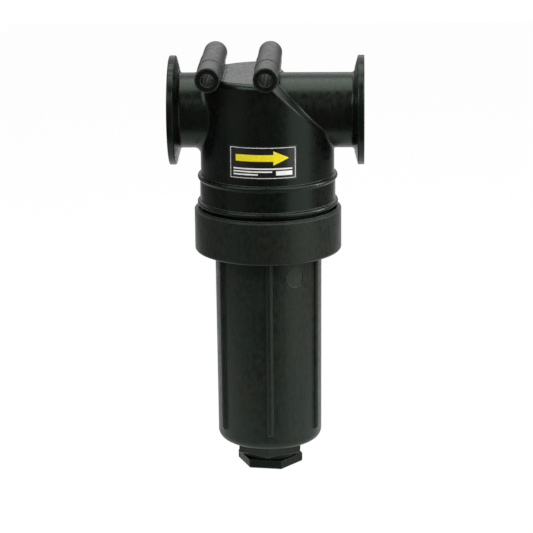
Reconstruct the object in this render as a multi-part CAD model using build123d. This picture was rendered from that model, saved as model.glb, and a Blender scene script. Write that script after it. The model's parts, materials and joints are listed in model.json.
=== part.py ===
from build123d import *
import math
import os

os.makedirs("parts", exist_ok=True)

# T strainer with two manifold flanges, a screw-on bowl and a drain plug, in millimetres.
# The origin is the centre of the inlet flange's face. +X is the way of the flow, +Z is up,
# and -Y is the front. Heights are measured from the flow axis, which is at z = 0.

# Ports and flanges
port_r = 25.4
port_wall = 4.2
inlet_reach = 76.6
outlet_reach = 76.6
flange_r = 43.0
flange_rim = 5.0
flange_slope = 2.7
flange_step = 3.4
flange_fillet = 2.5
flange_edge_round = 0.8
seal_groove_r = 34.0
seal_groove_inner_r = 28.4
seal_groove_depth = 1.6
outlet_bore_depth = 45.0

# Barrel of the head
barrel_r = 52.9
barrel_wall = 5.2
top_rise = 0.4
rim_round = 4.5
rim_bulge = 0.667
slope_reach = 33.0
slope_wall = 5.0
slope_round = 2.0
inlet_fillet = 5.0
outlet_fillet = 1.8
bead_r = 2.2
bead_proud = 2.6
upper_bead_drop = 52.2
lower_bead_drop = 73.1
band_proud = 0.85
lower_bead_extra = 0.4
spigot_length = 30.4
spigot_inset = 0.7

# Elbow inside the head, a little tighter than the ports, and the screen's seat at its foot
elbow_r = 25.0
elbow_wall = 4.6
seat_drop = 58.0
seat_skirt = 8.0
seat_skirt_wall = 3.3
seat_flare = 8.0

# Two bosses for the mounting bolts
boss_spacing = 44.45
boss_offset = 1.15
boss_rise = 5.0
boss_front_r = 9.7
boss_middle_r = 10.0
boss_rear_r = 9.5
boss_half_length = 60.0
boss_front_step = 25.0
boss_rear_step = 14.0
boss_chamfer = 0.7
boss_side_inset = 0.15
bolt_hole_r = 5.0

# Bowl with its collar
collar_r = 58.4
collar_step_width = 2.1
collar_step_drop = 1.3
collar_chamfer = 0.6
collar_gap = 1.7
collar_thread_gap = 1.5
collar_lip = 0.9
collar_bottom_round = 2.0
shelf = 5.2
bowl_r = 42.5
bowl_taper = 0.25
bowl_wall = 4.6
bowl_depth = 158.5
bowl_floor = 5.0
bowl_bottom_round = 7.0
bowl_inner_round = 4.0
rib_count = 6
rib_width = 4.9
rib_height = 2.6
rib_round = 2.3
rib_angle = 2.5
rib_stop = 12.5
mark_r = 7.5
mark_depth = 0.5
mark_angle = 32.0
mark_drop = 15.6
fin_height = 8.0
fin_step = 7.0
fin_thickness = 3.0
fin_start_r = 19.5

# Drain boss and plug
drain_boss_flats = 49.5
drain_boss_height = 10.8
drain_boss_chamfer = 0.8
drain_r = 16.8
plug_shank_r = 15.3
plug_shank_length = 17.5
plug_flats = 45.9
plug_head_height = 7.1
plug_angle = 22.0
plug_core_r = 11.5
plug_core_depth = 18.0
plug_chamfer = 0.8

# Screen
cage_r = 29.5
cage_wall = 3.0
cage_columns = 8
cage_rows = 6
cage_rib = 4.5
cage_hoop = 5.0
mesh_thickness = 0.5
seam_thickness = 0.4
seam_angle = 12.0
ring_wall = 3.0
ring_web = 3.0
ring_height = 10.0
ring_chamfer = 0.8

# Gaskets
bowl_gasket_thickness = 3.0
bowl_gasket_width = 6.0
screen_gasket_thickness = 3.0
plug_gasket_thickness = 3.1
plug_gasket_width = 4.5

# Label on the front of the barrel
label_top_drop = 17.7
label_bottom_drop = 44.5
label_left_angle = -31.8
label_right_angle = 27.4
label_thickness = 0.25

# Clearances, and how far a cut or a join reaches past the face that it needs
body_gap = 0.3
slide_gap = 0.5
skin_gap = 0.08
socket_gap = 0.16
overlap = 1.0
margin = 0.1

# Angle of the front about the bowl's axis, counted from +X
front_angle = -90.0

# Sizes that follow
neck_r = port_r + port_wall
top_z = neck_r + top_rise
roof_z = top_z - port_wall
chamber_r = barrel_r - barrel_wall
band_r = barrel_r + band_proud
upper_bead_z = -upper_bead_drop
lower_bead_z = -lower_bead_drop
spigot_r = barrel_r - spigot_inset
spigot_end_z = lower_bead_z - spigot_length
seat_z = -seat_drop
wrap_r = cage_r + mesh_thickness + seam_thickness + 2 * skin_gap
ring_r = wrap_r + socket_gap + ring_wall
skirt_r = ring_r + slide_gap
screen_top_z = seat_z - screen_gasket_thickness - body_gap
collar_top_z = lower_bead_z - bead_r - collar_gap
thread_bore_r = band_r + collar_thread_gap - collar_lip
shelf_z = spigot_end_z - body_gap - bowl_gasket_thickness
collar_bottom_z = shelf_z - shelf
bowl_bottom_z = collar_bottom_z - bowl_depth
floor_z = bowl_bottom_z + bowl_floor
fin_top_z = floor_z + fin_height
screen_bottom_z = fin_top_z + body_gap
drain_face_z = bowl_bottom_z - drain_boss_height
plug_gasket_top_z = drain_face_z - body_gap
plug_face_z = plug_gasket_top_z - plug_gasket_thickness - body_gap
plug_bottom_z = plug_face_z - plug_head_height
elbow_outer_r = elbow_r + elbow_wall
reach = 4 * (inlet_reach + outlet_reach)

at_bowl_axis = Pos(inlet_reach, 0, 0)


def turned(outline, arc=360.0, start=0.0):
    """A solid turned about the vertical axis from its outline, given as (radius, height) points."""
    face = make_face(Polyline([(radius, 0, height) for radius, height in outline], close=True))
    return Rot(0, 0, start) * revolve(face, Axis.Z, arc)


def tube(outer_r, inner_r, bottom, top):
    """A plain ring or tube about the vertical axis."""
    return turned([(inner_r, bottom), (outer_r, bottom), (outer_r, top), (inner_r, top)])


def along_x(radius, start, end):
    """A round bar along X, on the flow axis."""
    return Pos((start + end) / 2, 0, 0) * Rot(0, 90, 0) * Cylinder(radius, end - start)


def beyond_slope(offset):
    """Everything on the outer side of the sloping face, or of a parallel face inside it."""
    face = Plane(origin=(offset, 0, 0), z_dir=(1, 0, 1))
    return face * Box(reach, reach, reach, align=(Align.CENTER, Align.CENTER, Align.MIN))


def around(azimuth):
    """Turns a thing made on the front side to an azimuth, counted from the front towards +X."""
    return Rot(0, 0, azimuth)


# Head: one moulding with both flanges, the barrel, the bolt bosses and the elbow inside

def barrel_with_necks():
    """Barrel with the sloping face, blended into both necks, and the flat top."""
    height = 2 * (barrel_r + slope_reach)
    barrel = Pos(0, 0, upper_bead_z) * Cylinder(
        barrel_r, height, align=(Align.CENTER, Align.CENTER, Align.MIN)
    )
    barrel -= beyond_slope(slope_reach)
    barrel = fillet(barrel.edges().filter_by(GeomType.ELLIPSE), slope_round)
    inlet_neck = along_x(neck_r, -inlet_reach, -chamber_r / 2)
    outlet_neck = along_x(neck_r, 0, outlet_reach)
    body = barrel + inlet_neck
    body = fillet(new_edges(barrel, inlet_neck, combined=body), inlet_fillet)
    joined = body + outlet_neck
    body = fillet(new_edges(body, outlet_neck, combined=joined), outlet_fillet)
    above = Pos(0, 0, top_z) * Box(reach, reach, reach, align=(Align.CENTER, Align.CENTER, Align.MIN))
    body -= above
    return body - rim_cutters()


def rim_cutters():
    """Rounds the barrel's top edge, front and back, from one boss to the other."""
    inner = barrel_r - rim_round
    lower = top_z - rim_round
    far = barrel_r + rim_round
    high = top_z + rim_round
    bulge = rim_round * rim_bulge
    arc = ThreePointArc((barrel_r, lower), (inner + bulge, lower + bulge), (inner, top_z))
    sides = Polyline((inner, top_z), (inner, high), (far, high), (far, lower), (barrel_r, lower))
    face = Plane.XZ * make_face([*arc.edges(), *sides.edges()])
    left = math.degrees(math.asin((boss_spacing - boss_offset) / barrel_r))
    right = math.degrees(math.asin(boss_offset / barrel_r))
    front = Rot(0, 0, front_angle - left) * revolve(face, Axis.Z, left + right)
    return front + mirror(front, Plane.XZ)


def flange(side):
    """Flange with its face at x = 0 and its back towards +X, or towards -X if the side is -1."""
    back = flange_rim + flange_slope
    foot = back + flange_fillet + margin
    root_r = neck_r + flange_step
    outline = [
        (0, 0),
        (0, flange_r),
        (flange_rim, flange_r),
        (back, root_r),
        (back, neck_r),
        (foot, neck_r),
        (foot, 0),
    ]
    solid = revolve(make_face(Polyline([(x, r, 0) for x, r in outline], close=True)), Axis.X)
    corner = solid.edges().filter_by(GeomType.CIRCLE)
    inside = corner.filter_by(lambda e: abs(e.radius - neck_r) < 0.01).sort_by(Axis.X)[0]
    solid = fillet(inside, flange_fillet)
    rims = solid.edges().filter_by(GeomType.CIRCLE).filter_by(lambda e: abs(e.radius - flange_r) < 0.01)
    solid = fillet(rims, flange_edge_round)
    return solid if side > 0 else mirror(solid, Plane.YZ)


def lower_barrel():
    """Band between the two beads, and the spigot that the bowl screws on to."""
    band = tube(band_r, margin, lower_bead_z, upper_bead_z)
    core = Pos(0, 0, lower_bead_z) * Cylinder(
        spigot_r, spigot_length, align=(Align.CENTER, Align.CENTER, Align.MAX)
    )
    upper_tip = barrel_r + bead_proud
    lower_tip = upper_tip + lower_bead_extra
    upper_bead = Pos(0, 0, upper_bead_z) * Torus(upper_tip - bead_r, bead_r)
    lower_bead = Pos(0, 0, lower_bead_z) * Torus(lower_tip - bead_r, bead_r)
    return band + core + upper_bead + lower_bead


def boss(x):
    """Round boss along Y for one mounting bolt, sunk in the flat top, with upright sides down to it."""
    z = top_z + boss_rise
    steps = [
        (boss_front_r, -boss_half_length, -boss_front_step),
        (boss_middle_r, -boss_front_step, boss_rear_step),
        (boss_rear_r, boss_rear_step, boss_half_length),
    ]
    top = Pos(0, 0, top_z) * Cylinder(barrel_r - rim_round, 4 * boss_rise)
    solid = None
    for radius, start, end in steps:
        bar = Pos(x, (start + end) / 2, z) * Rot(90, 0, 0) * Cylinder(radius, end - start)
        width = 2 * (radius - boss_side_inset)
        sides = Pos(x, (start + end) / 2, z) * Box(
            width, end - start, boss_rise + overlap, align=(Align.CENTER, Align.CENTER, Align.MAX)
        )
        ends = bar.edges().filter_by(GeomType.CIRCLE).sort_by(Axis.Y)
        if start == -boss_half_length:
            bar = chamfer(ends[0], boss_chamfer)
        if end == boss_half_length:
            bar = chamfer(ends[-1], boss_chamfer)
        bar += sides & top
        solid = bar if solid is None else solid + bar
    return solid


def bolt_hole(x):
    """Through hole for one mounting bolt."""
    return Pos(x, 0, top_z + boss_rise) * Rot(90, 0, 0) * Cylinder(bolt_hole_r, 3 * boss_half_length)


def elbow(radius, end_z):
    """Mitred bar of the elbow, as crossing cores leave it: in from the outlet, then down the axis."""
    across = along_x(radius, -radius - overlap, outlet_reach + overlap)
    down = Pos(0, 0, end_z) * Cylinder(
        radius, radius + overlap - end_z, align=(Align.CENTER, Align.CENTER, Align.MIN)
    )
    outlet_side = beyond_slope(0)
    return (across & outlet_side) + (down - outlet_side)


def screen_seat():
    """Flared foot of the elbow: a flat face for the gasket, and a skirt that centres the screen."""
    outer = skirt_r + seat_skirt_wall
    skirt_end = seat_z - seat_skirt
    return turned(
        [
            (elbow_r, seat_z),
            (skirt_r, seat_z),
            (skirt_r, skirt_end),
            (outer, skirt_end),
            (outer, seat_z + seat_skirt_wall),
            (elbow_outer_r - overlap, seat_z + seat_skirt_wall + seat_flare),
            (elbow_r, seat_z + seat_skirt_wall + seat_flare),
        ]
    )


def make_head():
    body = barrel_with_necks() + lower_barrel()
    body += Pos(-inlet_reach, 0, 0) * flange(1)
    body += Pos(outlet_reach, 0, 0) * flange(-1)
    boss_places = (boss_offset - boss_spacing, boss_offset)
    for x in boss_places:
        body += boss(x)

    chamber = Pos(0, 0, spigot_end_z - overlap) * Cylinder(
        chamber_r, roof_z - spigot_end_z + overlap, align=(Align.CENTER, Align.CENTER, Align.MIN)
    )
    chamber -= beyond_slope(slope_reach - slope_wall * math.sqrt(2))
    chamber -= elbow(elbow_outer_r, seat_z)
    chamber -= screen_seat()
    body -= chamber
    body -= elbow(elbow_r, seat_z - overlap)
    inlet_end = -(elbow_outer_r + chamber_r) / 2
    body -= along_x(port_r, -inlet_reach - overlap, inlet_end)
    body -= along_x(port_r, outlet_reach - outlet_bore_depth, outlet_reach + overlap)
    for face_x in (-inlet_reach, outlet_reach):
        low, high = face_x - seal_groove_depth, face_x + seal_groove_depth
        body -= along_x(seal_groove_r, low, high) - along_x(seal_groove_inner_r, low, high)
    for x in boss_places:
        body -= bolt_hole(x)
    return body


# Bowl: one moulding with the stepped collar, six ribs outside, six fins inside and the drain boss

def bowl_outer_r(z):
    """Radius of the bowl's outer wall at a height, which narrows a little towards the bottom."""
    return bowl_r - (collar_bottom_z - z) * math.tan(math.radians(bowl_taper))


def bowl_shell():
    """Collar and wall, turned from one outline and rounded at the corners."""
    low = bowl_bottom_z
    outer = turned(
        [
            (0, low),
            (bowl_outer_r(low), low),
            (bowl_outer_r(collar_bottom_z), collar_bottom_z),
            (collar_r, collar_bottom_z),
            (collar_r, collar_top_z - collar_step_drop - collar_chamfer),
            (collar_r - collar_chamfer, collar_top_z - collar_step_drop),
            (collar_r - collar_step_width, collar_top_z - collar_step_drop),
            (collar_r - collar_step_width, collar_top_z),
            (0, collar_top_z),
        ]
    )
    circles = outer.edges().filter_by(GeomType.CIRCLE)
    bottom = circles.sort_by(Axis.Z)[0]
    outer = fillet(bottom, bowl_bottom_round)
    under = outer.edges().filter_by(GeomType.CIRCLE).filter_by(
        lambda e: abs(e.radius - collar_r) < 0.01
    )
    outer = fillet(under.sort_by(Axis.Z)[0], collar_bottom_round)
    return outer


def bowl_inside():
    """Hollow of the bowl, with the wider bore of the collar above its shelf."""
    hollow = turned(
        [
            (0, floor_z),
            (bowl_outer_r(floor_z) - bowl_wall, floor_z),
            (bowl_outer_r(shelf_z) - bowl_wall, shelf_z + overlap),
            (0, shelf_z + overlap),
        ]
    )
    hollow = fillet(hollow.edges().filter_by(GeomType.CIRCLE).sort_by(Axis.Z)[0], bowl_inner_round)
    bore = turned(
        [
            (0, shelf_z),
            (thread_bore_r, shelf_z),
            (thread_bore_r, collar_top_z - collar_lip),
            (thread_bore_r + collar_lip, collar_top_z),
            (thread_bore_r + collar_lip, collar_top_z + overlap),
            (0, collar_top_z + overlap),
        ]
    )
    return hollow + bore


def band_on_bowl(proud, low, high):
    """A skin that stands proud of the bowl's outer wall and reaches a little into it."""
    return turned(
        [
            (bowl_outer_r(low) - overlap, low),
            (bowl_outer_r(low) + proud, low),
            (bowl_outer_r(high) + proud, high),
            (bowl_outer_r(high) - overlap, high),
        ]
    )


def rib():
    """One upright rib on the bowl's front, with rounded edges and foot."""
    low = bowl_bottom_z + rib_stop
    high = collar_bottom_z + shelf / 2
    slab = Pos(0, -bowl_r, (low + high) / 2) * Box(rib_width, bowl_r, 2 * (high - low))
    solid = band_on_bowl(rib_height, low, high) & slab
    front = solid.faces().sort_by(Axis.Y)[0]
    keep = front.edges().sort_by(Axis.Z)[:-1]
    return fillet(keep, rib_round)


def fins():
    """Fins on the floor that carry the screen and centre it by their outer steps."""
    height = fin_height + fin_step
    plate = Pos(0, -fin_start_r, floor_z - overlap) * Box(
        fin_thickness, bowl_r - fin_start_r, height + overlap, align=(Align.CENTER, Align.MAX, Align.MIN)
    )
    plate -= Pos(0, 0, fin_top_z) * Cylinder(
        ring_r + slide_gap, 2 * fin_step, align=(Align.CENTER, Align.CENTER, Align.MIN)
    )
    inside = turned(
        [
            (0, floor_z - overlap),
            (bowl_outer_r(floor_z) - bowl_wall / 2, floor_z - overlap),
            (bowl_outer_r(fin_top_z + fin_step) - bowl_wall / 2, fin_top_z + fin_step),
            (0, fin_top_z + fin_step),
        ]
    )
    plate &= inside
    return [around(rib_angle + k * 360 / rib_count) * plate for k in range(rib_count)]


def round_mark():
    """Cutter of the shallow round recess in the wall between two ribs."""
    z = collar_bottom_z - mark_drop
    low, high = z - 2 * mark_r, z + 2 * mark_r
    bar = Pos(0, -bowl_r, z) * Rot(90, 0, 0) * Cylinder(mark_r, bowl_r)
    bed = turned(
        [(0, low), (bowl_outer_r(low) - mark_depth, low), (bowl_outer_r(high) - mark_depth, high), (0, high)]
    )
    return around(mark_angle) * (bar - bed)


def make_bowl():
    body = bowl_shell()
    one_rib = rib()
    for k in range(rib_count):
        body += around(rib_angle + k * 360 / rib_count) * one_rib
    body -= round_mark()
    boss_plan = RegularPolygon(drain_boss_flats / 2, 6, major_radius=False, rotation=30)
    drain_boss = extrude(boss_plan, drain_boss_height + bowl_floor / 2)
    drain_boss = chamfer(drain_boss.faces().sort_by(Axis.Z)[0].edges(), drain_boss_chamfer)
    body += Pos(0, 0, drain_face_z) * drain_boss
    body -= bowl_inside()
    for fin in fins():
        body += fin
    body -= Pos(0, 0, drain_face_z - overlap) * Cylinder(
        drain_r, 2 * (floor_z - drain_face_z), align=(Align.CENTER, Align.CENTER, Align.MIN)
    )
    return body


# Drain plug: a hollow hexagon head on a short round shank

def make_plug():
    plan = RegularPolygon(plug_flats / 2, 6, major_radius=False, rotation=plug_angle + front_angle)
    head = extrude(plan, plug_head_height)
    head = chamfer(head.faces().sort_by(Axis.Z)[0].edges(), plug_chamfer)
    head = Pos(0, 0, plug_bottom_z) * head
    shank = Pos(0, 0, plug_face_z) * Cylinder(
        plug_shank_r, plug_shank_length, align=(Align.CENTER, Align.CENTER, Align.MIN)
    )
    shank = chamfer(shank.edges().filter_by(GeomType.CIRCLE).sort_by(Axis.Z)[-1], plug_chamfer)
    core = Pos(0, 0, plug_bottom_z) * Cylinder(
        plug_core_r, 2 * plug_core_depth, align=(Align.CENTER, Align.CENTER, Align.CENTER)
    )
    return head + shank - core


# Screen: a moulded cage, wrapped in woven mesh, between a top ring and a closed bottom cap

def cage_limits():
    """Lowest and highest level of the cage and the mesh, between the webs of the two rings."""
    return screen_bottom_z + ring_web, screen_top_z - ring_web


def make_cage():
    low, high = cage_limits()
    body = tube(cage_r, cage_r - cage_wall, low, high)
    clear_low = low + ring_height - ring_web
    clear_high = high - ring_height + ring_web
    row = (clear_high - clear_low + cage_hoop) / cage_rows
    column = 2 * math.pi * cage_r / cage_columns
    window = Box(column - cage_rib, 3 * cage_r, row - cage_hoop)
    for r in range(cage_rows):
        z = clear_low + (r + 0.5) * row - cage_hoop / 2
        for c in range(cage_columns // 2):
            body -= Pos(0, 0, z) * around(c * 360 / cage_columns) * window
    return body


def make_mesh():
    low, high = cage_limits()
    inner = cage_r + skin_gap
    return tube(inner + mesh_thickness, inner, low, high)


def make_seam():
    """Flat strip that covers the mesh's joint, on the side away from the front."""
    low, high = cage_limits()
    inner = cage_r + mesh_thickness + 2 * skin_gap
    outer = inner + seam_thickness
    return turned(
        [(inner, low), (outer, low), (outer, high), (inner, high)], seam_angle, -front_angle - seam_angle / 2
    )


def screen_ring(web_bore_r):
    """Ring with a web across its top, hollow below for the end of the cage, from z = 0 down."""
    socket_r = ring_r - ring_wall
    body = turned(
        [
            (web_bore_r, 0),
            (ring_r, 0),
            (ring_r, -ring_height),
            (socket_r, -ring_height),
            (socket_r, -ring_web),
            (web_bore_r, -ring_web),
        ]
    )
    rims = body.edges().filter_by(GeomType.CIRCLE).filter_by(lambda e: abs(e.radius - ring_r) < 0.01)
    return chamfer(rims, ring_chamfer)


def make_top_ring():
    return Pos(0, 0, screen_top_z) * screen_ring(cage_r - cage_wall)


def make_bottom_cap():
    cap = screen_ring(port_r) + Cylinder(
        cage_r - cage_wall, ring_web, align=(Align.CENTER, Align.CENTER, Align.MAX)
    )
    return Pos(0, 0, screen_bottom_z) * mirror(cap, Plane.XY)


# Gaskets: flat rings of rubber

def make_bowl_gasket():
    outer = thread_bore_r - slide_gap
    return tube(outer, outer - bowl_gasket_width, shelf_z, shelf_z + bowl_gasket_thickness)


def make_screen_gasket():
    return tube(skirt_r - slide_gap, cage_r - cage_wall, seat_z - screen_gasket_thickness, seat_z)


def make_plug_gasket():
    inner = drain_r
    return tube(
        inner + plug_gasket_width, inner, plug_gasket_top_z - plug_gasket_thickness, plug_gasket_top_z
    )


# Label: a thin sheet on the front of the barrel

def make_label():
    inner = barrel_r + skin_gap
    outer = inner + label_thickness
    return turned(
        [
            (inner, -label_bottom_drop),
            (outer, -label_bottom_drop),
            (outer, -label_top_drop),
            (inner, -label_top_drop),
        ],
        label_right_angle - label_left_angle,
        label_left_angle + front_angle,
    )


nodes = {
    "head": make_head,
    "label": make_label,
    "screen_gasket": make_screen_gasket,
    "screen_top_ring": make_top_ring,
    "screen_cage": make_cage,
    "screen_mesh": make_mesh,
    "screen_seam": make_seam,
    "screen_bottom_cap": make_bottom_cap,
    "bowl": make_bowl,
    "bowl_gasket": make_bowl_gasket,
    "drain_plug_gasket": make_plug_gasket,
    "drain_plug": make_plug,
}

for name, make in nodes.items():
    export_step(at_bowl_axis * make(), f"parts/{name}.step")
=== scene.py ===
import json
import math

import bmesh
import bpy
from mathutils import Matrix, Vector


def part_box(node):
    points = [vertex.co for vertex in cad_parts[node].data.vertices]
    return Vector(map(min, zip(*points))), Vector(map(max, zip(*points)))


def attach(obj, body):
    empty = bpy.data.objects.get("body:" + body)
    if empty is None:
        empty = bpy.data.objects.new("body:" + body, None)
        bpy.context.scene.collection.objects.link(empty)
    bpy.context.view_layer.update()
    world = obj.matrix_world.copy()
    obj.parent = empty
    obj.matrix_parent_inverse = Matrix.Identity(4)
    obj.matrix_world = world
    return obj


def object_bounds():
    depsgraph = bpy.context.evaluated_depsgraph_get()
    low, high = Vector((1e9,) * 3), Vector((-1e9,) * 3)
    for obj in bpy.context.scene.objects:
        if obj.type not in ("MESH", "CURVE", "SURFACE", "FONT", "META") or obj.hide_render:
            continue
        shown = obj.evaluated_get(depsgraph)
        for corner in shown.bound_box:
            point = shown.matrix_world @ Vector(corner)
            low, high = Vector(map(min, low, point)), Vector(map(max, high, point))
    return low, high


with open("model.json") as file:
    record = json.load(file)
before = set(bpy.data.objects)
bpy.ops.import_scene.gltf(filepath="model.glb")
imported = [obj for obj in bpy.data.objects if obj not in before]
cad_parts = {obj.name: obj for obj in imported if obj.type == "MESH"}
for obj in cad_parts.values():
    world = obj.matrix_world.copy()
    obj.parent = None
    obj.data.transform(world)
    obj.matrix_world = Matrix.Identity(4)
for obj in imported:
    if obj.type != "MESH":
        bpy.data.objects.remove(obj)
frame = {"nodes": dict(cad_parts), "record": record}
cad_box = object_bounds()

# Camera
# A long lens 1.9 m from the strainer, at the height of a tabletop view, a little to the right of its
# middle. The picture's tilt of half a degree is the camera's own.

mm = 0.001
head_low, head_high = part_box("head")
flow_axis_x = (head_low.x + head_high.x) / 2
camera_distance = 1.9
camera_roll = math.radians(-0.58)
camera_target = Vector((flow_axis_x, 0.0, -120.0 * mm))
camera_aim = Vector((flow_axis_x - 1.65 * mm, 0.0, -128.1 * mm))


def towards(azimuth, elevation):
    """The direction from the strainer to an azimuth, counted from the front towards +X, and an
    elevation, both in degrees."""
    azimuth = math.radians(azimuth)
    elevation = math.radians(elevation)
    return Vector(
        (
            math.sin(azimuth) * math.cos(elevation),
            -math.cos(azimuth) * math.cos(elevation),
            math.sin(elevation),
        )
    )


camera_data = bpy.data.cameras.new("camera")
camera_data.sensor_width = 36.0
camera_data.lens = 160.1
camera_data.clip_start = 0.05
camera_data.clip_end = 50.0
camera = bpy.data.objects.new("camera", camera_data)
bpy.context.scene.collection.objects.link(camera)
camera.location = camera_target + towards(2.1, 15.22) * camera_distance
camera_view = (camera_aim - camera.location).to_track_quat("-Z", "Y").to_matrix()
camera.rotation_euler = (camera_view @ Matrix.Rotation(camera_roll, 3, "Z")).to_euler()
bpy.context.scene.camera = camera


# Head
# One injection moulding in black glass-filled polypropylene. Both flanges, the barrel and the two
# bolt bosses come out of one steel mould that parts along the middle, so a fine line runs over it.

def linear(hex_colour):
    """The linear colour of an sRGB hex value."""
    parts = [int(hex_colour[i : i + 2], 16) / 255 for i in (1, 3, 5)]
    curved = [c / 12.92 if c <= 0.04045 else ((c + 0.055) / 1.055) ** 2.4 for c in parts]
    return (*curved, 1.0)


def add(tree, kind, settings=None, **links):
    """A node with its settings, and its sockets set to a value or linked from another socket. A
    socket goes by its name, or by its number after an underscore."""
    node = tree.nodes.new(kind)
    for key, value in (settings or {}).items():
        setattr(node, key, value)
    for key, value in links.items():
        number = key.removeprefix("_")
        socket = node.inputs[int(number) if number.isdigit() else key.replace("_", " ")]
        if isinstance(value, bpy.types.NodeSocket):
            tree.links.new(value, socket)
        else:
            socket.default_value = value
    return node


def new_material(name):
    """An empty node material with its tree and its output node."""
    material = bpy.data.materials.new(name)
    material.use_nodes = True
    tree = material.node_tree
    tree.nodes.clear()
    return material, tree, tree.nodes.new("ShaderNodeOutputMaterial")


def polypropylene(name, tone, warm_tone, roughness, shine, depth, edge, marks=None):
    """Black glass-filled polypropylene, as a steel mould leaves it: half gloss, with the cloudy flow
    of the glass under the skin, a fine crinkled grain along the flow that breaks up the highlights,
    and edges as round as the mould's corners, with a painted highlight in a paler colour along
    them. depth is the height of the grain, and edge the radius of the corners. marks is a function
    that adds to the finish what only this moulding shows."""
    patch_size = 45.0 * mm
    cloud_size = 3.4 * mm
    grain_size = 1.3 * mm
    flow_stretch = (1.0, 1.0, 0.65)
    roughness_swing = 0.08

    material, tree, output = new_material(name)
    place = add(tree, "ShaderNodeTexCoord").outputs["Object"]
    flow = add(tree, "ShaderNodeMapping", Vector=place, Scale=flow_stretch).outputs[0]
    patches = add(
        tree, "ShaderNodeTexNoise", Vector=place, Scale=1 / patch_size, Detail=2.0
    ).outputs[0]
    cloud = add(
        tree, "ShaderNodeTexNoise", Vector=flow, Scale=1 / cloud_size, Detail=3.0, Roughness=0.6
    ).outputs[0]
    grain = add(
        tree, "ShaderNodeTexNoise", Vector=flow, Scale=1 / grain_size, Detail=2.0, Roughness=0.6
    ).outputs[0]

    warmth = add(
        tree, "ShaderNodeMapRange", Value=patches, From_Min=0.42, From_Max=0.62
    ).outputs[0]
    colour = add(
        tree,
        "ShaderNodeMix",
        {"data_type": "RGBA"},
        Factor=warmth,
        _6=linear(tone),
        _7=linear(warm_tone),
    ).outputs[2]
    streaks = add(
        tree,
        "ShaderNodeMapRange",
        Value=cloud,
        From_Min=0.3,
        From_Max=0.7,
        To_Min=0.68,
        To_Max=1.32,
    ).outputs[0]
    colour = add(
        tree, "ShaderNodeVectorMath", {"operation": "SCALE"}, _0=colour, Scale=streaks
    ).outputs[0]

    finish = {"shine": shine, "texture": 1.0, "paler": 0.0}
    finish["roughness"] = add(
        tree,
        "ShaderNodeMapRange",
        Value=cloud,
        From_Min=0.3,
        From_Max=0.7,
        To_Min=roughness - roughness_swing,
        To_Max=roughness + roughness_swing,
    ).outputs[0]
    finish["relief"] = add(
        tree, "ShaderNodeMath", {"operation": "MULTIPLY_ADD"}, _0=cloud, _1=1.4, _2=grain
    ).outputs[0]
    if marks:
        marks(tree, place, finish)

    # Where the rounded normal turns away from the face's own, a paler colour is painted on the edge
    # as a highlight.
    rounded = add(tree, "ShaderNodeBevel", {"samples": 6}, Radius=edge).outputs["Normal"]
    flat = add(tree, "ShaderNodeNewGeometry").outputs["Normal"]
    alike = add(
        tree, "ShaderNodeVectorMath", {"operation": "DOT_PRODUCT"}, _0=rounded, _1=flat
    ).outputs["Value"]
    painted_edge_highlight = add(
        tree, "ShaderNodeMapRange", Value=alike, From_Min=0.985, From_Max=0.9
    ).outputs[0]
    # The paler colour: the painted edge highlight, or the marks' own paleness where that is
    # stronger.
    paler = add(
        tree, "ShaderNodeMath", {"operation": "MAXIMUM"}, _0=painted_edge_highlight, _1=finish["paler"]
    ).outputs[0]
    colour = add(
        tree,
        "ShaderNodeMix",
        {"data_type": "RGBA"},
        Factor=paler,
        _6=colour,
        _7=linear("#454a46"),
    ).outputs[2]
    bump = add(
        tree,
        "ShaderNodeBump",
        Height=finish["relief"],
        Strength=finish["texture"],
        Distance=depth,
        Normal=rounded,
    ).outputs["Normal"]
    shader = add(
        tree,
        "ShaderNodeBsdfPrincipled",
        Base_Color=colour,
        Roughness=finish["roughness"],
        IOR=1.49,
        Specular_IOR_Level=finish["shine"],
        Specular_Tint=linear("#e2ffe9"),
        Normal=bump,
    )
    tree.links.new(shader.outputs[0], output.inputs["Surface"])
    return material


mounts = {mount["name"]: mount for mount in frame["record"]["mounts"]}
bolts = mounts["mounting_bolts"]
bosses_middle_x, _, bolt_z = bolts["pos_m"]
bolt_half_spacing = bolts["dims"]["spacing_x_mm"] / 2 * mm
bolt_hole_r = bolts["dims"]["hole_r_mm"] * mm


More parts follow.
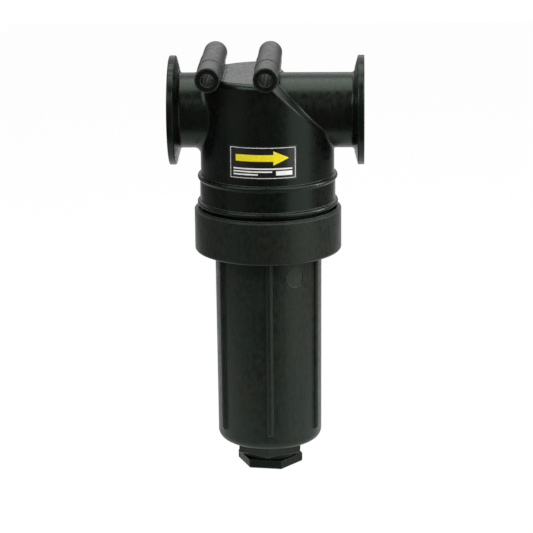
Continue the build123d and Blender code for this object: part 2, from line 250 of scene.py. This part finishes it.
def head_marks(tree, place, finish):
    """The marks of the head's mould: the parting line along its middle, the smooth bolt holes, and
    the ring marks of turned cores along the bosses, which take some shine off."""
    boss_foot_z = 30.6 * mm
    boss_skin_r = 8.6 * mm
    line_top_half = 0.15 * mm
    line_foot_half = 0.6 * mm
    line_relief = 4.0
    ring_pitch = 2.2 * mm
    ring_stretch = (0.12, 1.0, 0.12)
    ring_relief = 7.0
    ring_dulling = -0.55
    hole_smoothing = -0.15

    apart = add(tree, "ShaderNodeSeparateXYZ", Vector=place).outputs
    across = add(tree, "ShaderNodeMath", {"operation": "ABSOLUTE"}, _0=apart["Y"]).outputs[0]
    line = add(
        tree,
        "ShaderNodeMapRange",
        Value=across,
        From_Min=line_top_half,
        From_Max=line_foot_half,
        To_Min=line_relief,
        To_Max=0.0,
    ).outputs[0]
    relief = add(
        tree, "ShaderNodeMath", {"operation": "ADD"}, _0=line, _1=finish["relief"]
    ).outputs[0]

    # Both bosses fold on to one, so that one distance from the bolt's axis serves both.
    aside = add(
        tree, "ShaderNodeMath", {"operation": "SUBTRACT"}, _0=apart["X"], _1=bosses_middle_x
    ).outputs[0]
    folded = add(tree, "ShaderNodeMath", {"operation": "ABSOLUTE"}, _0=aside).outputs[0]
    beside_bolt = add(tree, "ShaderNodeCombineXYZ", X=folded, Z=apart["Z"]).outputs[0]
    from_bolt = add(
        tree,
        "ShaderNodeVectorMath",
        {"operation": "DISTANCE"},
        _0=beside_bolt,
        _1=(bolt_half_spacing, 0.0, bolt_z),
    ).outputs["Value"]

    in_hole = add(
        tree,
        "ShaderNodeMath",
        {"operation": "LESS_THAN"},
        _0=from_bolt,
        _1=bolt_hole_r + 0.2 * mm,
    ).outputs[0]
    finish["roughness"] = add(
        tree,
        "ShaderNodeMath",
        {"operation": "MULTIPLY_ADD"},
        _0=in_hole,
        _1=hole_smoothing,
        _2=finish["roughness"],
    ).outputs[0]
    finish["texture"] = add(
        tree, "ShaderNodeMath", {"operation": "SUBTRACT"}, _0=1.0, _1=in_hole
    ).outputs[0]

    turned = add(tree, "ShaderNodeMapping", Vector=place, Scale=ring_stretch).outputs[0]
    rings = add(
        tree, "ShaderNodeTexNoise", Vector=turned, Scale=1 / ring_pitch, Detail=3.0, Roughness=0.7
    ).outputs[0]
    outside = add(
        tree, "ShaderNodeMath", {"operation": "GREATER_THAN"}, _0=from_bolt, _1=boss_skin_r
    ).outputs[0]
    above = add(
        tree, "ShaderNodeMath", {"operation": "GREATER_THAN"}, _0=apart["Z"], _1=boss_foot_z
    ).outputs[0]
    on_boss = add(
        tree, "ShaderNodeMath", {"operation": "MULTIPLY"}, _0=outside, _1=above
    ).outputs[0]
    dulling = add(
        tree,
        "ShaderNodeMapRange",
        Value=rings,
        From_Min=0.38,
        From_Max=0.62,
        To_Min=ring_dulling,
        To_Max=0.0,
    ).outputs[0]
    left_over = add(
        tree, "ShaderNodeMath", {"operation": "MULTIPLY_ADD"}, _0=on_boss, _1=dulling, _2=1.0
    ).outputs[0]
    finish["shine"] = add(
        tree, "ShaderNodeMath", {"operation": "MULTIPLY"}, _0=left_over, _1=finish["shine"]
    ).outputs[0]
    ring_height = add(
        tree, "ShaderNodeMath", {"operation": "MULTIPLY"}, _0=on_boss, _1=ring_relief
    ).outputs[0]
    finish["relief"] = add(
        tree, "ShaderNodeMath", {"operation": "MULTIPLY_ADD"}, _0=ring_height, _1=rings, _2=relief
    ).outputs[0]


def dress(node_name, material):
    """Gives a CAD node its material."""
    piece = frame["nodes"][node_name]
    piece.data.materials.clear()
    piece.data.materials.append(material)


# The glossiest of the three black mouldings, with hardly any grain.
head_plastic = polypropylene(
    "moulded_black_polypropylene",
    tone="#090d0b",
    warm_tone="#0e0d0b",
    roughness=0.30,
    shine=0.28,
    depth=0.012 * mm,
    edge=1.0 * mm,
    marks=head_marks,
)
dress("head", head_plastic)


def new_piece(name, mesh, body, material):
    """A piece from its mesh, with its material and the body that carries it."""
    data = bpy.data.meshes.new(name)
    mesh.to_mesh(data)
    mesh.free()
    data.materials.append(material)
    piece = bpy.data.objects.new(name, data)
    bpy.context.scene.collection.objects.link(piece)
    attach(piece, body)


def thread(name, body, material, low, high, lead, root_r, crest_r, base, crest, start=0.0):
    """A right-handed helical thread ridge about the bowl's axis, as wide as base at its root and as
    crest at its top, that begins at the angle start and runs out flat at both ends."""
    steps_per_turn = 60
    run_out_turns = 0.2
    turns = (high - low) / lead
    steps = round(turns * steps_per_turn)
    mesh = bmesh.new()
    outline = [
        (root_r, -base / 2),
        (crest_r, -crest / 2),
        (crest_r, crest / 2),
        (root_r, base / 2),
    ]
    ridge = mesh.faces.new([mesh.verts.new((r, 0.0, low + h)) for r, h in outline])
    bmesh.ops.spin(
        mesh,
        geom=[ridge, *ridge.edges, *ridge.verts],
        cent=(0.0, 0.0, 0.0),
        axis=(0.0, 0.0, 1.0),
        dvec=(0.0, 0.0, (high - low) / steps),
        angle=turns * math.tau,
        steps=steps,
        use_merge=False,
    )
    for vert in mesh.verts:
        radius = math.hypot(vert.co.x, vert.co.y)
        turn = math.atan2(vert.co.y, vert.co.x) / math.tau
        along = turn + round((vert.co.z - low) / lead - turn)
        share = min(1.0, max(0.0, min(along, turns - along) / run_out_turns))
        squeezed = (root_r + (radius - root_r) * share) / radius
        vert.co.x *= squeezed
        vert.co.y *= squeezed
    bmesh.ops.recalc_face_normals(mesh, faces=mesh.faces)
    bmesh.ops.transform(
        mesh,
        matrix=Matrix.Translation((flow_axis_x, 0.0, 0.0)) @ Matrix.Rotation(start, 4, "Z"),
        verts=mesh.verts,
    )
    new_piece(name, mesh, body, material)


# The bowl screws on to the spigot by a coarse thread, with ridges that a finger can feel. Its lead
# is the way that the screen comes down in one turn of the bowl.
leads = {
    coupling["joint"]: coupling["ratio"] * math.tau
    for coupling in frame["record"]["behaviour"]["couplings"]
}
bowl_thread = {
    "low": head_low.z + 2.5 * mm,
    "high": head_low.z + 23.5 * mm,
    "lead": leads["screen_drop"],
    "base": 3.0 * mm,
    "crest": 1.2 * mm,
}
thread(
    "spigot_thread", "head", head_plastic, root_r=52.1 * mm, crest_r=53.7 * mm, **bowl_thread
)


# Label
# A film of black polyester, glued flat on the front of the barrel. It is screen printed in yellow
# and white: a flow arrow in a frame, over plain rules and a block.

def film(name, colour, roughness, coat):
    """Polyester film or the ink printed on it: glossy, with the slight ripple of the glue under it,
    and rubbed a little dull in places. coat is the share of varnish."""
    ripple_size = 6.0 * mm
    wear_size = 1.5 * mm

    material, tree, output = new_material(name)
    place = add(tree, "ShaderNodeTexCoord").outputs["Object"]
    ripple = add(
        tree, "ShaderNodeTexNoise", Vector=place, Scale=1 / ripple_size, Detail=2.0
    ).outputs[0]
    wear = add(
        tree, "ShaderNodeTexNoise", Vector=place, Scale=1 / wear_size, Detail=3.0
    ).outputs[0]
    tint = add(
        tree,
        "ShaderNodeMapRange",
        Value=wear,
        From_Min=0.25,
        From_Max=0.75,
        To_Min=0.9,
        To_Max=1.06,
    ).outputs[0]
    shade = add(
        tree, "ShaderNodeVectorMath", {"operation": "SCALE"}, _0=linear(colour)[:3], Scale=tint
    ).outputs[0]
    bump = add(
        tree, "ShaderNodeBump", Height=ripple, Strength=0.5, Distance=0.05 * mm
    ).outputs["Normal"]
    rubbed = add(
        tree,
        "ShaderNodeMapRange",
        Value=wear,
        From_Min=0.3,
        From_Max=0.7,
        To_Min=roughness - 0.04,
        To_Max=roughness + 0.06,
    ).outputs[0]
    shader = add(
        tree,
        "ShaderNodeBsdfPrincipled",
        Base_Color=shade,
        Roughness=rubbed,
        IOR=1.5,
        Coat_Weight=coat,
        Coat_Roughness=0.12,
        Normal=bump,
    )
    tree.links.new(shader.outputs[0], output.inputs["Surface"])
    return material


dress("label", film("printed_black_polyester", "#110f0c", 0.3, 0.2))

# The ink lies on the film's outer radius.
label_low, label_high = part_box("label")
label_r = 53.23 * mm
label_left = math.asin((label_low.x - flow_axis_x) / label_r)
label_width = (math.asin((label_high.x - flow_axis_x) / label_r) - label_left) * label_r
label_height = label_high.z - label_low.z
ink_thickness = 0.03 * mm


def ink(name, shapes, colour):
    """Ink on the label: flat shapes in millimetres from its lower left corner, cut into narrow
    strips and bent round the barrel."""
    mesh = bmesh.new()
    for outline in shapes:
        face = mesh.faces.new([mesh.verts.new((u * mm, 0.0, v * mm)) for u, v in outline])
        raised = bmesh.ops.extrude_face_region(mesh, geom=[face])["geom"]
        raised = [item for item in raised if isinstance(item, bmesh.types.BMVert)]
        bmesh.ops.translate(mesh, vec=(0.0, ink_thickness, 0.0), verts=raised)
    strip = 1.5 * mm
    for k in range(1, int(label_width / strip)):
        bmesh.ops.bisect_plane(
            mesh,
            geom=[*mesh.verts, *mesh.edges, *mesh.faces],
            plane_co=(k * strip, 0.0, 0.0),
            plane_no=(1.0, 0.0, 0.0),
        )
    for vert in mesh.verts:
        turn = label_left + vert.co.x / label_r
        radius = label_r + vert.co.y
        vert.co = (
            flow_axis_x + radius * math.sin(turn),
            -radius * math.cos(turn),
            label_low.z + vert.co.z,
        )
    bmesh.ops.recalc_face_normals(mesh, faces=mesh.faces)
    new_piece(name, mesh, "head", film(f"{name}_ink", colour, 0.35, 0.0))


def bar(left, low, width, height):
    """The outline of an upright rectangle, from its lower left corner."""
    return [(left, low), (left + width, low), (left + width, low + height), (left, low + height)]


# The print, in millimetres from the label's lower left corner. The rules go by their height.
frame_inset = 1.3
frame_line = 0.4
frame_width = label_width / mm - 2 * frame_inset
frame_height = label_height / mm - 2 * frame_inset
sides_low = frame_inset + frame_line
sides_height = frame_height - 2 * frame_line
rules_left = 4.0
rule_thickness = 1.1
rule_lengths = {8.3: 47.0, 6.0: 31.0, 3.7: 20.0}
block_left = 38.0
block_low = 3.7
block_width = 13.0
block_height = 3.4
white_shapes = [
    bar(frame_inset, frame_inset, frame_width, frame_line),
    bar(frame_inset, frame_inset + frame_height - frame_line, frame_width, frame_line),
    bar(frame_inset, sides_low, frame_line, sides_height),
    bar(frame_inset + frame_width - frame_line, sides_low, frame_line, sides_height),
    *[bar(rules_left, low, length, rule_thickness) for low, length in rule_lengths.items()],
    bar(block_left, block_low, block_width, block_height),
]
arrow_left = 6.0
arrow_neck = 36.0
arrow_tip = 48.5
arrow_middle = 17.3
shaft_half = 2.6
barb_half = 5.6
arrow = [
    (arrow_left, arrow_middle - shaft_half),
    (arrow_neck, arrow_middle - shaft_half),
    (arrow_neck, arrow_middle - barb_half),
    (arrow_tip, arrow_middle),
    (arrow_neck, arrow_middle + barb_half),
    (arrow_neck, arrow_middle + shaft_half),
    (arrow_left, arrow_middle + shaft_half),
]
ink("label_white_print", white_shapes, "#f2f2ee")
ink("label_yellow_print", [arrow], "#f2e11c")


# Gaskets
# Three flat rings of black rubber (EPDM), moulded or stamped from sheet: one under the spigot, one
# in the screen's seat and one under the plug's head.

def plain_moulding(name, dark, light, cloud_size, pore_size, pore_strength, roughness, ior):
    """A skin moulded without glass fibre: two close shades in soft clouds, and fine pores."""
    material, tree, output = new_material(name)
    place = add(tree, "ShaderNodeTexCoord").outputs["Object"]
    cloud = add(
        tree, "ShaderNodeTexNoise", Vector=place, Scale=1 / cloud_size, Detail=3.0
    ).outputs[0]
    pores = add(
        tree, "ShaderNodeTexNoise", Vector=place, Scale=1 / pore_size, Detail=2.0
    ).outputs[0]
    colour = add(
        tree,
        "ShaderNodeMix",
        {"data_type": "RGBA"},
        Factor=cloud,
        _6=linear(dark),
        _7=linear(light),
    ).outputs[2]
    bump = add(
        tree, "ShaderNodeBump", Height=pores, Strength=pore_strength, Distance=0.05 * mm
    ).outputs["Normal"]
    shader = add(
        tree,
        "ShaderNodeBsdfPrincipled",
        Base_Color=colour,
        Roughness=roughness,
        IOR=ior,
        Normal=bump,
    )
    tree.links.new(shader.outputs[0], output.inputs["Surface"])
    return material


# EPDM rubber, moulded: matt and gritty, with a faint pale bloom that comes to its skin.
rubber = plain_moulding(
    "moulded_epdm_rubber",
    dark="#101110",
    light="#1a1b1a",
    cloud_size=4.0 * mm,
    pore_size=0.5 * mm,
    pore_strength=0.4,
    roughness=0.72,
    ior=1.5,
)
for gasket in ("bowl_gasket", "screen_gasket", "drain_plug_gasket"):
    dress(gasket, rubber)


# Screen
# A cage moulded in blue polypropylene with a top ring and a closed bottom cap, welded to it, and a
# sleeve of woven stainless wire cloth round it. A strip of the same steel covers the cloth's joint.

# Polypropylene without glass, moulded: half gloss, with the soft clouds of its blue pigment.
blue = plain_moulding(
    "moulded_blue_polypropylene",
    dark="#1f4f97",
    light="#285fa9",
    cloud_size=12.0 * mm,
    pore_size=0.8 * mm,
    pore_strength=0.3,
    roughness=0.42,
    ior=1.49,
)
for moulding in ("screen_top_ring", "screen_cage", "screen_bottom_cap"):
    dress(moulding, blue)


def wire_cloth(name, holes):
    """Woven stainless wire: round bright wires that cross, and what shows between them. The real
    cloth has two wires to the millimetre, so the weave is drawn twice as coarse to show."""
    pitch = 1.0 * mm
    cloth_r = 30.0 * mm
    wires_round = round(math.tau * cloth_r / pitch)

    material, tree, output = new_material(name)
    place = add(tree, "ShaderNodeTexCoord").outputs["Object"]
    centred = add(
        tree, "ShaderNodeMapping", Vector=place, Location=(-flow_axis_x, 0.0, 0.0)
    ).outputs[0]
    apart = add(tree, "ShaderNodeSeparateXYZ", Vector=centred).outputs
    turn = add(
        tree, "ShaderNodeMath", {"operation": "ARCTAN2"}, _0=apart["Y"], _1=apart["X"]
    ).outputs[0]
    upright = add(
        tree, "ShaderNodeMath", {"operation": "MULTIPLY"}, _0=turn, _1=float(wires_round)
    ).outputs[0]
    level = add(
        tree, "ShaderNodeMath", {"operation": "MULTIPLY"}, _0=apart["Z"], _1=math.tau / pitch
    ).outputs[0]
    waves = []
    for phase in (upright, level):
        wave = add(tree, "ShaderNodeMath", {"operation": "COSINE"}, _0=phase).outputs[0]
        waves.append(add(tree, "ShaderNodeMath", {"operation": "ABSOLUTE"}, _0=wave).outputs[0])
    height = add(
        tree, "ShaderNodeMath", {"operation": "MAXIMUM"}, _0=waves[0], _1=waves[1]
    ).outputs[0]
    on_wire = add(
        tree, "ShaderNodeMapRange", Value=height, From_Min=0.35, From_Max=0.75
    ).outputs[0]
    # Between the wires: for the cloth a painted shade of its inside, for the strip its own steel.
    colour = add(
        tree,
        "ShaderNodeMix",
        {"data_type": "RGBA"},
        Factor=on_wire,
        _6=linear(holes),
        _7=linear("#c6c8c9"),
    ).outputs[2]
    bump = add(
        tree, "ShaderNodeBump", Height=height, Strength=0.8, Distance=0.25 * mm
    ).outputs["Normal"]
    shader = add(
        tree,
        "ShaderNodeBsdfPrincipled",
        Base_Color=colour,
        Metallic=1.0,
        Roughness=0.32,
        Normal=bump,
    )
    tree.links.new(shader.outputs[0], output.inputs["Surface"])
    return material


# Between its wires the cloth is painted dark, a painted shade for the screen's inside seen through
# the openings. The strip is pressed flat, so that its gaps are pale too.
dress("screen_mesh", wire_cloth("woven_stainless_steel", "#2a2c2d"))
dress("screen_seam", wire_cloth("rolled_stainless_strip", "#8d9091"))


# Bowl
# A second moulding in the same black polypropylene, a little duller than the head. Its collar screws
# on to the head, and six ribs on the wall give the hand or a strap a hold.

def round_mark(tree, place, finish):
    """The round mark of a mould insert, under the collar between two ribs, a little paler."""
    mark_turn = math.radians(32.0)
    wall_r = 42.1 * mm
    mark_centre = (
        flow_axis_x + wall_r * math.sin(mark_turn),
        -wall_r * math.cos(mark_turn),
        -127.6 * mm,
    )
    mark_r = 7.6 * mm
    paleness = 0.16
    from_mark = add(
        tree, "ShaderNodeVectorMath", {"operation": "DISTANCE"}, _0=place, _1=mark_centre
    ).outputs["Value"]
    finish["paler"] = add(
        tree,
        "ShaderNodeMapRange",
        Value=from_mark,
        From_Min=mark_r,
        From_Max=mark_r - 0.4 * mm,
        To_Max=paleness,
    ).outputs[0]


# The greyest of the three black mouldings, with the deepest grain.
bowl_plastic = polypropylene(
    "moulded_black_polypropylene_bowl",
    tone="#191e1b",
    warm_tone="#1d1d19",
    roughness=0.38,
    shine=0.26,
    depth=0.15 * mm,
    edge=0.6 * mm,
    marks=round_mark,
)
dress("bowl", bowl_plastic)
thread(
    "collar_thread",
    "bowl",
    bowl_plastic,
    root_r=54.45 * mm,
    crest_r=52.85 * mm,
    start=math.pi,
    **bowl_thread,
)


# Drain plug
# A hollow hexagon plug in black polypropylene that screws into the bowl's drain boss with a fine
# thread. It comes out of a split mould with the thread on it.

# The dullest of the three black mouldings.
plug_plastic = polypropylene(
    "moulded_black_polypropylene_plug",
    tone="#0a0e0c",
    warm_tone="#0e0d0b",
    roughness=0.42,
    shine=0.15,
    depth=0.05 * mm,
    edge=0.6 * mm,
)
dress("drain_plug", plug_plastic)
plug_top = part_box("drain_plug")[1].z
plug_thread = {
    "low": plug_top - 12.7 * mm,
    "high": plug_top - 1.5 * mm,
    "lead": leads["seal_drop"],
    "base": 1.5 * mm,
    "crest": 0.5 * mm,
}
thread(
    "plug_thread",
    "drain_plug",
    plug_plastic,
    root_r=15.2 * mm,
    crest_r=16.45 * mm,
    **plug_thread,
)
thread(
    "drain_thread",
    "bowl",
    bowl_plastic,
    root_r=16.9 * mm,
    crest_r=15.65 * mm,
    start=math.pi,
    **plug_thread,
)


# Floor and light
# The strainer hangs over a white table, as it hangs in its pipework, so that the bowl and the plug
# can come down. The room is white behind it and dim in front. A large softbox is overhead, two keys
# stand high in front, a small lamp catches the edges from the right, and panels fill the walls.

hanging_height = 45.0 * mm
floor_z = cad_box[0].z - hanging_height
floor_front = -0.22
floor_back = 2.4
floor_half_width = 0.55
floor_middle = (flow_axis_x, (floor_front + floor_back) / 2, floor_z)

floor_mesh = bmesh.new()
bmesh.ops.create_grid(
    floor_mesh,
    x_segments=1,
    y_segments=1,
    size=1.0,
    matrix=Matrix.Translation(floor_middle)
    @ Matrix.Diagonal((floor_half_width, (floor_back - floor_front) / 2, 1.0, 1.0)),
)
floor_data = bpy.data.meshes.new("floor")
floor_mesh.to_mesh(floor_data)
floor_mesh.free()
floor = bpy.data.objects.new("floor", floor_data)
bpy.context.scene.collection.objects.link(floor)

# Matt white paper. Most of what the camera and reflections see of it is plain white, and the rest is
# lit, so that it keeps a faint shadow.
paper_glow = 0.96
paper, tree, output = new_material("matt_white_paper")
rays = add(tree, "ShaderNodeLightPath").outputs
seen = rays["Is Camera Ray"]
for kind in ("Is Glossy Ray", "Is Transmission Ray"):
    seen = add(tree, "ShaderNodeMath", {"operation": "MAXIMUM"}, _0=seen, _1=rays[kind]).outputs[0]
glow = add(tree, "ShaderNodeMath", {"operation": "MULTIPLY"}, _0=seen, _1=paper_glow).outputs[0]
matt = add(tree, "ShaderNodeBsdfDiffuse", Color=linear("#ffffff")).outputs[0]
white = add(tree, "ShaderNodeEmission", Color=linear("#ffffff"), Strength=1.0).outputs[0]
mixed = add(tree, "ShaderNodeMixShader", Fac=glow, _1=matt, _2=white).outputs[0]
tree.links.new(mixed, output.inputs["Surface"])
floor_data.materials.append(paper)

# The room: white to the camera, and for what the object reflects, white behind it above the table
# and dim in front.
dim_front = 0.12
bright_back = 1.3
below_table = 0.12
back_sharpness = 3.0
world = bpy.data.worlds.new("room")
bpy.context.scene.world = world
world.use_nodes = True
tree = world.node_tree
tree.nodes.clear()
rays = add(tree, "ShaderNodeLightPath").outputs
direction = add(tree, "ShaderNodeTexCoord").outputs["Generated"]
heading = add(tree, "ShaderNodeSeparateXYZ", Vector=direction).outputs
behind = add(
    tree, "ShaderNodeMapRange", Value=heading["Y"], From_Min=-1.0, From_Max=1.0
).outputs[0]
behind = add(
    tree, "ShaderNodeMath", {"operation": "POWER"}, _0=behind, _1=back_sharpness
).outputs[0]
upwards = add(
    tree,
    "ShaderNodeMapRange",
    Value=heading["Z"],
    From_Min=0.04,
    From_Max=0.22,
    To_Min=below_table,
    To_Max=1.0,
).outputs[0]
behind = add(
    tree, "ShaderNodeMath", {"operation": "MULTIPLY"}, _0=behind, _1=upwards
).outputs[0]
reflected = add(
    tree,
    "ShaderNodeMath",
    {"operation": "MULTIPLY_ADD"},
    _0=behind,
    _1=bright_back - dim_front,
    _2=dim_front,
).outputs[0]
strength = add(
    tree,
    "ShaderNodeMix",
    {"data_type": "FLOAT"},
    Factor=rays["Is Camera Ray"],
    _2=reflected,
    _3=1.0,
).outputs[0]
background = add(
    tree, "ShaderNodeBackground", Color=linear("#ffffff"), Strength=strength
).outputs[0]
tree.links.new(background, tree.nodes.new("ShaderNodeOutputWorld").inputs["Surface"])


def softbox(name, azimuth, elevation, distance, width, height, power):
    """A softbox that faces the strainer from an azimuth and an elevation in degrees, with its
    distance and size in metres and its power in watts. It isn't seen itself."""
    lamp = bpy.data.lights.new(name, "AREA")
    lamp.shape = "RECTANGLE"
    lamp.size = width
    lamp.size_y = height
    lamp.energy = power
    box = bpy.data.objects.new(name, lamp)
    bpy.context.scene.collection.objects.link(box)
    away = towards(azimuth, elevation)
    box.location = camera_target + away * distance
    box.rotation_euler = away.to_track_quat("Z", "Y").to_euler()
    box.visible_camera = False


softbox("softbox_overhead", 180.0, 84.0, 1.1, 0.9, 0.9, 9.5)
softbox("key_left", -46.0, 41.0, 1.4, 1.2, 0.4, 8.6)
softbox("key_right", 60.0, 42.0, 1.4, 1.6, 0.4, 14.5)
softbox("edge_right", 97.0, 21.0, 1.4, 0.5, 0.5, 9.0)
softbox("panel_left", -52.0, 6.0, 1.35, 0.9, 1.2, 0.8)
softbox("panel_right", 58.0, -3.0, 1.35, 1.1, 1.5, 6.4)

bpy.context.scene.view_settings.view_transform = "Standard"
